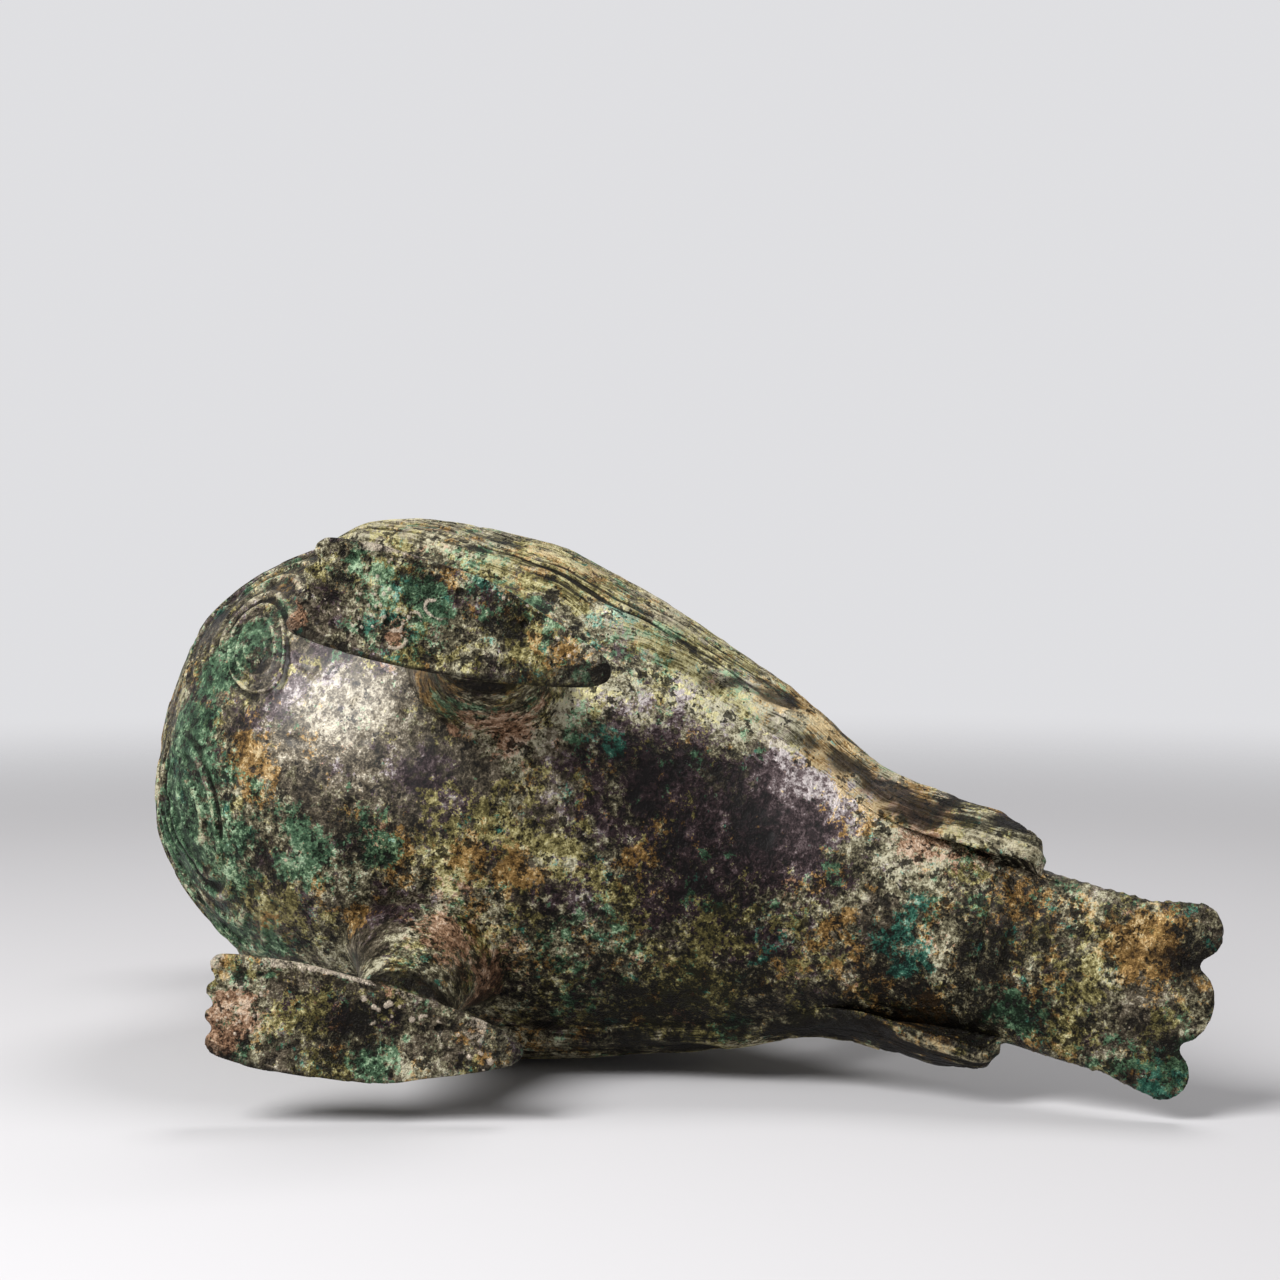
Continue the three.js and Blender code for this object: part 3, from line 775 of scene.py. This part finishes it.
def horn_relief(points):
    """Long flutes that follow the tuft's rise."""
    x, y, _ = points.T
    return 0.35 * np.cos(7 * np.arctan2(y + 51, np.abs(x) - 25))


def beak_relief(points):
    """A ridge down the bill's middle, and a groove along its edge."""
    x, _, z = points.T
    ridge = 0.4 * smooth_step(2.4, 0.6, np.abs(x))
    return ridge - 0.45 * smooth_step(1.4, 0.3, np.abs(np.abs(x) - 5.5)) * (z < 204)


class Value:
    """A shader socket that plain arithmetic can be written with."""

    def __init__(self, tree, socket):
        self.tree, self.socket = tree, socket

    def maths(self, operation, other, swap=False):
        pair = (other, self) if swap else (self, other)
        return self.tree.node("ShaderNodeMath", {"operation": operation}, *pair)

    def __add__(self, other):
        return self.maths("ADD", other)

    def __sub__(self, other):
        return self.maths("SUBTRACT", other)

    def __rsub__(self, other):
        return self.maths("SUBTRACT", other, True)

    def __mul__(self, other):
        return self.maths("MULTIPLY", other)

    def clamp(self):
        return self.tree.node("ShaderNodeClamp", {}, self)


class Tree:
    """A material's node tree, with one method that adds any node."""

    def __init__(self, name):
        self.material = bpy.data.materials.new(name)
        self.material.use_nodes = True
        self.nodes = self.material.node_tree.nodes
        self.links = self.material.node_tree.links
        self.nodes.clear()

    def node(self, kind, settings, *values, out=0, **named):
        made = self.nodes.new(kind)
        stops = settings.pop("stops", None)
        for key, value in settings.items():
            setattr(made, key, value)
        if stops:
            ramp = made.color_ramp
            while len(ramp.elements) < len(stops):
                ramp.elements.new(0.5)
            for element, (position, colour) in zip(ramp.elements, stops):
                element.position, element.color = position, (*colour, 1)
        inputs = list(enumerate(values)) + list(named.items())
        for key, value in inputs:
            socket = made.inputs[key.replace("_", " ") if isinstance(key, str) else key]
            if isinstance(value, Value):
                self.links.new(value.socket, socket)
            elif isinstance(value, tuple) and len(value) == 3 and socket.type == "RGBA":
                socket.default_value = (*value, 1)
            else:
                socket.default_value = value
        return Value(self, made.outputs[out]) if made.outputs else None

    def read(self, name):
        """What the piece notes for each vertex under a name."""
        return self.node("ShaderNodeAttribute", {"attribute_name": name}, out=2)

    def ramp(self, value, *stops):
        return self.node("ShaderNodeValToRGB", {"stops": stops}, value)

    def noise(self, where, scale, detail, roughness):
        """Noise from 0 to 1."""
        return self.node(
            "ShaderNodeTexNoise", {}, where, Scale=scale, Detail=detail, Roughness=roughness,
        )

    def mottle(self, scale, detail, roughness, shift):
        """Noise about 0, two thirds of it within -1 to 1, at a scale in features per metre."""
        moved = self.node("ShaderNodeVectorMath", {"operation": "ADD"}, self.place(), (shift,) * 3)
        return (self.noise(moved, scale, detail, roughness) - 0.5) * 20

    def combed(self, along, across, detail, roughness):
        """Noise from 0 to 1 that runs along a wing's strands, at two scales per millimetre."""
        where = self.node(
            "ShaderNodeCombineXYZ", {}, self.read("along") * along, self.read("across") * across,
        )
        return self.noise(where, 1.0, detail, roughness)

    def place(self):
        return self.node("ShaderNodeTexCoord", {}, out=3)

    def step(self, low, high, value):
        """0 below low, 1 above high, smooth between."""
        return self.node(
            "ShaderNodeMapRange", {"interpolation_type": "SMOOTHSTEP"}, value,
            From_Min=low, From_Max=high,
        )

    def blend(self, share, first, second):
        mix = self.nodes.new("ShaderNodeMix")
        mix.data_type = "RGBA"
        for socket, value in zip((mix.inputs[0], mix.inputs[6], mix.inputs[7]), (share, first, second)):
            if isinstance(value, Value):
                self.links.new(value.socket, socket)
            else:
                socket.default_value = value if isinstance(value, float) else (*value, 1)
        return Value(self, mix.outputs[2])

    def near(self, centre, reach, edge):
        """1 within a reach of a point in millimetres, fading to 0 over an edge."""
        there = self.node(
            "ShaderNodeVectorMath", {"operation": "DISTANCE"}, self.place(),
            tuple(c * MM for c in centre), out=1,
        )
        return self.step((reach + edge) * MM, reach * MM, there)


# Patina hues, each as dark, middle, light and palest, from the deepest pit to the driest crust
BROWN = ((0.004, 0.003, 0.002), (0.034, 0.027, 0.017), (0.140, 0.115, 0.078), (0.50, 0.45, 0.35))
PURPLE = ((0.003, 0.002, 0.002), (0.021, 0.012, 0.013), (0.100, 0.072, 0.073), (0.48, 0.43, 0.42))
SAGE = ((0.007, 0.006, 0.003), (0.068, 0.059, 0.033), (0.215, 0.195, 0.120), (0.50, 0.47, 0.33))
MALACHITE = ((0.004, 0.012, 0.005), (0.028, 0.066, 0.034), (0.090, 0.178, 0.096), (0.32, 0.46, 0.29))
TURQUOISE = ((0.003, 0.014, 0.010), (0.014, 0.062, 0.042), (0.055, 0.160, 0.108), (0.30, 0.47, 0.36))
OCHRE = ((0.016, 0.008, 0.002), (0.125, 0.068, 0.018), (0.320, 0.190, 0.062), (0.60, 0.45, 0.24))
OLIVE = ((0.010, 0.009, 0.003), (0.086, 0.072, 0.023), (0.270, 0.235, 0.095), (0.60, 0.55, 0.30))
EARTH = ((0.030, 0.014, 0.008), (0.175, 0.094, 0.052), (0.370, 0.225, 0.140), (0.60, 0.44, 0.32))
# Pale straw that paints a highlight on the carving's ridges.
RIDGE_HIGHLIGHT = (0.50, 0.43, 0.27)
PIT = (0.004, 0.003, 0.002)
# Pale nodules on the soles; the same colour paints the highlight on a sole's upper rim.
NODULE_AND_RIM_HIGHLIGHT = (0.50, 0.42, 0.33)

# Where each hue gathers: middle in millimetres, reach, and how strongly. The last rows are not hues but
# where the bare metal shows, where the colour is darkened or lightened, by darker or paler crust and by
# painted shade or painted sheen, and where the metal shines.
FIELDS = {
    "purple": [
        ((14, 6, 29), 34, 2.4), ((23, 30, 31), 15, 2.2), ((7, -57, 29), 13, 1.8),
        ((-8, 22, 27), 16, 1.0), ((10, 73, 16), 9, 1.0), ((30, 76, 32), 12, 2.4),
    ],
    "malachite": [
        ((10, -117, 58), 16, 1.8), ((-16, -114, 56), 22, 2.4), ((-43, -97, 61), 20, 1.8),
        ((-21, -87, 39), 15, 1.5), ((26, -108, 56), 12, 1.0), ((49, -72, 0), 13, 2.0),
        ((-54, -52, 0), 8, 1.4), ((48, -16, 54), 10, 1.8), ((-11, -64, 31), 5, 2.8),
        ((-16, 118, 4), 11, 1.4), ((-20, -11, 31), 14, 0.9), ((30, -24, 32), 8, 1.0),
        ((26, -59, 27), 5, 1.8), ((54, -62, 76), 14, 1.0), ((-10, 86, 12), 9, 1.3),
        ((-12, 99, 8), 8, 1.2),
    ],
    "turquoise": [
        ((-2, 57, 20), 11, 2.0), ((-19, 120, 2), 8, 2.1), ((48, -76, 0), 8, 1.9),
        ((52, -25, 53), 6, 2.2), ((-12, -118, 60), 9, 1.3), ((27, -20, 33), 5, 1.4),
    ],
    "ochre": [
        ((13, 109, 4), 9, 2.4), ((3, 103, 5), 8, 1.6), ((-1, 88, 10), 8, 1.9), ((30, 44, 40), 14, 2.0),
        ((40, 26, 52), 16, 1.9), ((-6, -37, 28), 12, 1.5), ((16, 80, 18), 7, 1.6),
        ((-22, 62, 20), 12, 1.6), ((0, -99, 41), 9, 1.8), ((-4, -90, 36), 7, 1.5),
        ((-28, -67, 36), 5, 2.2), ((7, -114, 54), 5, 1.6), ((23, 55, 32), 9, 1.6),
        ((49, -38, 0), 8, 1.5), ((29, -63, 28), 7, 2.4), ((-28, -48, 28), 8, 1.8),
    ],
    "olive": [
        ((54, -44, 66), 26, 1.6), ((56, -84, 84), 24, 1.4), ((42, 0, 56), 18, 1.6),
        ((-6, -37, 28), 18, 1.5), ((-17, 13, 29), 16, 1.2), ((-16, 104, 5), 10, 1.3),
        ((6, 94, 9), 12, 1.5), ((-8, 94, 9), 10, 1.0), ((20, -60, 34), 10, 0.9),
        ((-36, 10, 40), 24, 1.1), ((49, -42, 0), 11, 1.7), ((-44, -72, 0), 6, 1.4),
    ],
    "earth": [
        ((-52, -88, 0), 9, 3.4), ((41, -94, 0), 3.5, 4.2), ((31, -74, 39), 4, 2.6),
        ((29, -46, 28), 14, 3.2), ((21, -54, 32), 4, 2.2), ((-32, -44, 27), 15, 3.4),
        ((-24, -58, 33), 5, 2.0), ((-38, -36, 34), 8, 2.6), ((41, -72, 0), 3, 2.6),
        ((26, 48, 35), 14, 1.9), ((21, 62, 28), 12, 1.6),
    ],
    "bare": [
        ((23, -82, 38), 22, 2.8), ((7, -57, 29), 12, 2.0), ((-31, -58, 29), 9, 2.0),
        ((22, 26, 31), 14, 1.8), ((14, 6, 29), 26, 1.8),
    ],
    # Darker crust, as in the purple middle of the belly and spots on the soles, and painted shade: on the
    # right side and its wing, which face the floor, and on the belly under the feet.
    "dark_crust_and_shade": [
        ((14, 6, 29), 25, 1.35), ((7, -57, 29), 11, 0.8), ((-10, -63, 30), 9, 1.0),
        ((-24, 0, 32), 24, 0.2), ((-41, -6, 44), 24, 1.1), ((-31, 28, 37), 22, 1.2),
        ((-17, 60, 23), 14, 1.2), ((27, -20, 33), 7, 1.3), ((-16, -26, 29), 8, 1.1),
        ((51, -48, 0), 5, 2.0), ((-48, -62, 0), 9, 1.3), ((-45, 8, 46), 18, 1.0),
        ((-34, 54, 34), 18, 2.2), ((-24, 78, 26), 15, 2.6), ((45, -22, 0), 4, 1.0),
        ((7, 84, 13), 12, 0.8), ((-3, 71, 16), 10, 0.9), ((11, 119, 3), 6, 1.4),
        ((14, 99, 8), 4, 1.4), ((-14, 94, 9), 9, 0.8), ((-40, -34, 34), 9, 1.4),
        ((32, 78, 30), 9, 1.0),
    ],
    # Paler crust in places, and painted sheen: on the breast under the left foot and in a band along the
    # left flank below the wing.
    "pale": [
        ((23, -82, 38), 22, 0.8), ((34, -22, 37), 10, 1.5), ((38, -4, 42), 11, 1.5),
        ((37, 13, 42), 11, 1.5), ((31, 30, 38), 11, 1.5), ((24, 45, 32), 10, 1.2),
        ((17, 57, 25), 8, 0.8), ((18, 92, 12), 9, 0.5), ((-4, -37, 28), 22, 0.35),
        ((52, -25, 53), 7, 1.9), ((46, 2, 52), 12, 0.9), ((40, 20, 48), 12, 0.9),
        ((30, 40, 40), 12, 0.6),
    ],
    "sheen": [((23, -82, 38), 26, 1.0), ((22, 28, 31), 16, 0.5), ((7, -57, 29), 12, 0.4)],
}


def patina(name, carved=False, green=0.0, ochre=0.0, speckle=1.0):
    """Old bronze under layers of crust in several hues, with dirt and painted shade in the carving's
    grooves, a painted highlight on its ridges, and patches of painted sheen and shade.

    A carved finish reads the strands of a wing. Green and ochre spread these hues, and speckle below 1
    calms the mottling in favour of the carving's painted highlights and shade.
    """
    tree = Tree(name)
    mottle = tree.mottle(55, 5.6, 0.97, 0.31)
    clots = tree.mottle(130, 4.5, 0.9, 4.7)
    fine = tree.mottle(480, 3, 0.9, 1.9) * 0.76
    carving = tree.read("carving")
    nodule_and_rim_light = tree.read("nodule_and_rim_light")

    def gathered(hue):
        total = None
        for centre, reach, strength in FIELDS[hue]:
            spot = tree.near(centre, reach * 0.3, reach * 1.2) * strength
            total = spot if total is None else total + spot
        return total

    bare = gathered("bare")
    kept = 0.7 if carved else 0.0
    ragged = tree.mottle(62, 6.5, 0.88, 3.3) - bare * (1 - kept) + clots * 0.2
    crust = tree.step(-0.55, 0.1, ragged + kept)
    coarse = crust * 0.4 + 0.6
    tone = (mottle * 0.58 + clots * 0.42 + fine * 0.62) * coarse + 0.1
    # Pale and dark fields: paler and darker crust, painted sheen and painted shade.
    tone = tone + gathered("pale") - gathered("dark_crust_and_shade") * 0.9
    if carved:
        lock = tree.combed(0.10, 1.3, 4.0, 0.8)
        bundle = tree.combed(0.035, 0.22, 2.0, 0.6)
        worn = tree.step(-1.1, 0.7, tree.mottle(45, 4, 0.8, 8.8)) * 0.85 + 0.15
        strands = ((lock - 0.5) * 14 + (bundle - 0.5) * 3) * worn
        tone = tone * (1 - worn * 0.35) + strands * 0.8 + 0.35
    # The carving also lightens ridges and darkens grooves in the colour: painted highlight and painted
    # shade along the relief.
    tone = tone * speckle + carving * (3.2 - 2 * speckle)

    def paint(hue):
        return tree.ramp(tone * 0.2 + 0.5, *zip((0.20, 0.44, 0.66, 0.90), hue))

    def patches(hue, scale, shift, cover, kept_off=0.35):
        """Where a hue shows: ragged patches, more of them in its own places, few on bare metal."""
        crumbs = tree.mottle(scale, 6.5, 0.86, shift) + fine * 0.25 + cover
        return tree.step(0.78, 1.22, crumbs + gathered(hue) - bare * kept_off)

    colour = tree.blend(patches("purple", 30, 2.1, -0.1, kept_off=0.0), paint(BROWN), paint(PURPLE))
    colour = tree.blend(crust * 0.92, colour, paint(SAGE))
    for hue, stops, scale, shift, cover, most in (
        ("olive", OLIVE, 44, 6.9, -0.35 + ochre, 1.0),
        ("ochre", OCHRE, 60, 6.2, -0.6 + ochre, 0.9),
        ("malachite", MALACHITE, 50, 4.4, -0.65 + green, 0.9),
        ("turquoise", TURQUOISE, 85, 5.7, -1.3 + green, 1.0),
        ("earth", EARTH, 75, 7.9, -1.7, 0.92),
    ):
        colour = tree.blend(patches(hue, scale, shift, cover) * most, colour, paint(stops))
    pits = tree.step(1.35, 1.7, tree.mottle(210, 3, 0.8, 9.9) * 0.85 - bare * 0.4)
    colour = tree.blend(pits * 0.85, colour, PIT)
    # Ridges of the carving in pale straw: a painted highlight.
    ridges = tree.step(0.3, 0.95, carving + clots * 0.12) * tree.step(-1.2, 0.8, mottle)
    colour = tree.blend(ridges * 0.5, colour, RIDGE_HIGHLIGHT)
    # Pale nodules, and the painted highlight on a sole's upper rim; holes and the rim's painted shade go
    # dark with the grooves below.
    colour = tree.blend(tree.step(0.25, 0.6, nodule_and_rim_light + fine * 0.08) * 0.75, colour, NODULE_AND_RIM_HIGHLIGHT)
    # Grooves of the carving dark: dirt lying in them, and painted shade as well.
    grooves = tree.step(0.02, -0.4, carving) + tree.step(-0.25, -0.7, nodule_and_rim_light)
    colour = tree.blend(grooves.clamp() * 0.88, colour, PIT)
    relief = (crust * 0.4 + clots * 0.22 + mottle * 0.16 + fine * 0.22) * coarse - pits * 0.9
    if carved:
        relief = relief * 0.8 + strands * 0.28
    bump = tree.node("ShaderNodeBump", {}, Strength=0.9, Distance=0.40 * MM, Height=relief)
    dry = tree.step(-0.6, 1.0, tone) * crust
    shine = (gathered("sheen") * 0.5 + 0.06) * (1 - crust * 0.75)
    shader = tree.node(
        "ShaderNodeBsdfPrincipled", {}, Base_Color=colour, Roughness=dry * 0.30 + 0.42,
        Metallic=0.35 - crust * 0.35, Normal=bump, Coat_Weight=shine, Coat_Roughness=0.40,
        Specular_IOR_Level=0.1,
    )
    tree.node("ShaderNodeOutputMaterial", {}, shader)
    return tree.material


# The camera that saw the photograph: place in millimetres, and its right and up directions
CAMERA_AT = (104.8, -38.6, -710)
CAMERA_RIGHT = Vector((0.2257, 0.9743, -0.0114)).normalized()
CAMERA_UP = Vector((0.9716, -0.2241, 0.0773)).normalized()


def make_camera():
    data = bpy.data.cameras.new("photo_view")
    data.lens, data.sensor_width = 90, 36
    camera = bpy.data.objects.new("photo_view", data)
    bpy.context.scene.collection.objects.link(camera)
    back = CAMERA_RIGHT.cross(CAMERA_UP)
    turn = Matrix((CAMERA_RIGHT, CAMERA_UP, back)).transposed()
    camera.matrix_world = Matrix.Translation(Vector(CAMERA_AT) * MM) @ turn.to_4x4()
    data.clip_start, data.clip_end = 0.01, 20
    bpy.context.scene.camera = camera


def lamp(name, direction, distance, size, power):
    """A round soft light. Its direction is given in the picture: right, up and towards the viewer."""
    data = bpy.data.lights.new(name, "AREA")
    data.shape, data.size, data.energy = "DISK", size, power
    light = bpy.data.objects.new(name, data)
    bpy.context.scene.collection.objects.link(light)
    back = CAMERA_RIGHT.cross(CAMERA_UP)
    towards = (CAMERA_RIGHT * direction[0] + CAMERA_UP * direction[1] + back * direction[2]).normalized()
    light.location = Vector((0, -10, 70)) * MM + towards * distance
    light.rotation_mode = "QUATERNION"
    light.rotation_quaternion = towards.to_track_quat("Z", "Y")


def stage_sheet(name, low, high, normal, point):
    """A plain pale sheet that fades out towards its rim, and is clear from behind."""
    bpy.ops.mesh.primitive_plane_add(size=2)
    sheet = bpy.context.object
    sheet.name = name
    turn = Vector(normal).to_track_quat("Z", "Y").to_matrix().to_4x4()
    sheet.matrix_world = Matrix.Translation(Vector(point) * MM) @ turn
    tree = Tree(name)
    there = tree.node("ShaderNodeVectorMath", {"operation": "LENGTH"}, tree.place(), out=1)
    shown = tree.step(high, low, there)
    front = 1 - tree.node("ShaderNodeNewGeometry", {}, out=6)
    clear = tree.node("ShaderNodeBsdfTransparent", {})
    pale = tree.node("ShaderNodeBsdfDiffuse", {}, (0.60, 0.59, 0.60))
    shader = tree.node("ShaderNodeMixShader", {}, shown * front, clear, pale)
    tree.node("ShaderNodeOutputMaterial", {}, shader)
    sheet.data.materials.append(tree.material)
    return sheet


def lowest_level(pieces, normal):
    """How low the pieces reach along a direction, in millimetres."""
    return min(float(np.min(vertices(piece) @ np.array(normal))) for piece in pieces)


def make_world(tree):
    """Pale to the camera and in mirror images, and a dimmer soft light on the object."""
    background = tree.nodes["Background"]
    background.inputs[0].default_value = (0.74, 0.74, 0.76, 1)
    rays = tree.nodes.new("ShaderNodeLightPath")
    seen = rays.outputs["Is Camera Ray"]
    for name in ("Is Glossy Ray", "Is Transmission Ray"):
        either = tree.nodes.new("ShaderNodeMath")
        either.operation = "MAXIMUM"
        tree.links.new(seen, either.inputs[0])
        tree.links.new(rays.outputs[name], either.inputs[1])
        seen = either.outputs[0]
    level = tree.nodes.new("ShaderNodeMapRange")
    level.inputs["To Min"].default_value = 0.28
    level.inputs["To Max"].default_value = 1.0
    tree.links.new(seen, level.inputs[0])
    tree.links.new(level.outputs[0], background.inputs[1])


# How far the floor's sheet leans towards the camera, in degrees
FLOOR_LEAN = 4


def make_stage(pieces):
    """The floor that the owl's right flank rests on, the pale surroundings and the lamps."""
    elevation = math.radians(FLOOR_LEAN)
    back = CAMERA_RIGHT.cross(CAMERA_UP)
    normal = (CAMERA_UP * math.cos(elevation) + back * math.sin(elevation)).normalized()
    level = lowest_level(pieces, normal) - 0.3
    middle = Vector((0, -20, 90))
    foot = middle + normal * (level - middle.dot(normal))
    stage_sheet("side_floor", 0.45, 0.95, normal, foot)
    world = bpy.data.worlds.new("studio")
    bpy.context.scene.world = world
    world.use_nodes = True
    make_world(world.node_tree)
    lamp("key", (-0.50, 0.60, 0.60), 1.1, 0.62, 16)
    lamp("rim", (0.25, 0.90, -0.15), 1.1, 0.5, 4.5)
    lamp("fill", (0.7, 0.1, 0.8), 1.6, 0.9, 2)


def make_owl():
    body_finish = patina("patina_body")
    wing_finish = patina("patina_wing", carved=True, ochre=0.25)
    tail_finish = patina("patina_tail")
    leg_finish = patina("patina_leg", green=0.1)
    head_finish = patina("patina_head", green=0.3, speckle=0.6)
    body, tail = body_piece(), tail_piece()
    finish_piece(body, "vessel", "vessel_body", body_finish)
    finish_piece(tail, "vessel", "tail_fan", tail_finish)
    pieces = [body, tail]
    for side, word in ((1, "left"), (-1, "right")):
        wing = wing_piece(f"owl_{word}_wing", side)
        finish_piece(wing, "vessel", f"{word}_wing", wing_finish)
        leg = leg_piece(f"{word}_leg", f"owl_{word}_leg", side)
        finish_piece(leg, "vessel", f"{word}_leg", leg_finish)
        horn = small_piece(f"{word}_horn", f"owl_{word}_horn", 0.5, horn_relief)
        finish_piece(horn, "lid", f"{word}_horn", head_finish)
        pieces += [wing, leg]
    handle = small_piece("handle", "owl_handle", 0.7, handle_relief)
    finish_piece(handle, "vessel", "handle", body_finish)
    finish_piece(head_piece(), "lid", "head_lid", head_finish)
    beak = small_piece("beak", "owl_beak", 0.5, beak_relief)
    finish_piece(beak, "lid", "beak", head_finish)
    finish_piece(small_piece("lid_knob", "owl_knob"), "lid", "lid_knob", head_finish)
    return pieces


make_camera()
make_stage(make_owl())
bpy.context.scene.view_settings.view_transform = "Standard"
